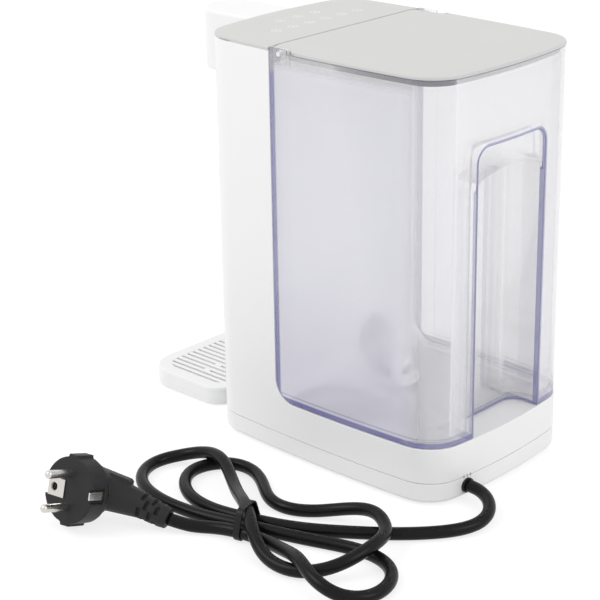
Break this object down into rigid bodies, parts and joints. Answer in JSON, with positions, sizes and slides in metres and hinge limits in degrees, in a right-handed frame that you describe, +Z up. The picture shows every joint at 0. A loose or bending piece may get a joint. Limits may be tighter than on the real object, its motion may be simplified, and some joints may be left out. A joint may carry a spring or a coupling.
{
  "type": "electric thermo pot",
  "caption": "Countertop hot-water dispenser with a lift-off clear tank, hinged tank lid, touch panel, spout head, slide-out drip tray and a mains lead with angled plug.",
  "frame": {"origin": "bottom centre of the appliance without its lead, on the surface it stands on", "axes": "+Z up, -Y towards the spout and the drip tray, +X to the left of someone who faces the spout from behind the tank"},
  "size_m": [0.2984, 0.3025, 0.251],
  "materials": {
    "white_plastic": "satin",
    "panel_grey": "satin",
    "skirt_grey": "matte",
    "clear_tank": "clear gloss",
    "valve_white": "satin",
    "seal_rubber": "matte",
    "foot_rubber": "matte",
    "steel": "satin",
    "motor_case": "satin",
    "board_green": "matte",
    "hose_silicone": "satin",
    "cord_black": "satin",
    "plug_black": "satin",
    "nickel": "polished"
  },
  "bodies": {
    "base": {"housing": "white_plastic", "bottom_cover": "white_plastic", "feet": "foot_rubber", "cover_screws": "steel", "control_panel": "panel_grey", "touch_board": "board_green", "touch_springs": "steel", "spout_head": "white_plastic", "spout_cover": "white_plastic", "spout_nozzle": "steel", "spout_screws": "steel", "heater": "steel", "heater_brackets": "steel", "thermal_cutout": "plug_black", "pump_motor": "motor_case", "pump_head": "valve_white", "pump_seat": "seal_rubber", "power_board": "board_green", "board_screws": "steel", "inlet_hose": "hose_silicone", "pump_hose": "hose_silicone", "outlet_hose": "hose_silicone", "tank_coupling": "white_plastic", "coupling_seal": "seal_rubber", "cord_gland": "cord_black", "power_cord": "cord_black", "cord_tie": "cord_black", "plug_body": "plug_black", "plug_pins": "nickel", "plug_earth": "nickel"},
    "tray": {"drip_tray": "white_plastic"},
    "grille": {"drip_grille": "white_plastic"},
    "tank": {"tank": "clear_tank", "valve_body": "valve_white", "valve_gasket": "seal_rubber", "valve_nut": "valve_white", "valve_spring": "steel"},
    "plunger": {"valve_plunger": "valve_white", "plunger_seal": "seal_rubber"},
    "lid": {"lid": "panel_grey", "lid_skirt": "skirt_grey", "hinge_pins": "valve_white"}
  },
  "joints": [
    {"name": "tray_slide", "type": "slide", "parent": "base", "child": "tray", "axis": [0, -1, 0], "range_m": [0, 0.085]},
    {"name": "grille_lift", "type": "slide", "parent": "tray", "child": "grille", "axis": [0, 0, 1], "range_m": [0, 0.03]},
    {"name": "tank_lift", "type": "slide", "parent": "base", "child": "tank", "axis": [0, 0, 1], "range_m": [0, 0.1]},
    {"name": "valve_slide", "type": "slide", "parent": "tank", "child": "plunger", "axis": [0, 0, 1], "range_m": [-0.003, 0], "deforming": ["valve_spring"]},
    {"name": "lid_hinge", "type": "hinge", "parent": "tank", "child": "lid", "pos_m": [0, 0.01585, 0.2476], "axis": [1, 0, 0], "range_deg": [0, 100]}
  ],
  "couplings": [
    {"joint": "valve_slide", "follows": "tank_lift", "ratio": -0.03}
  ]
}
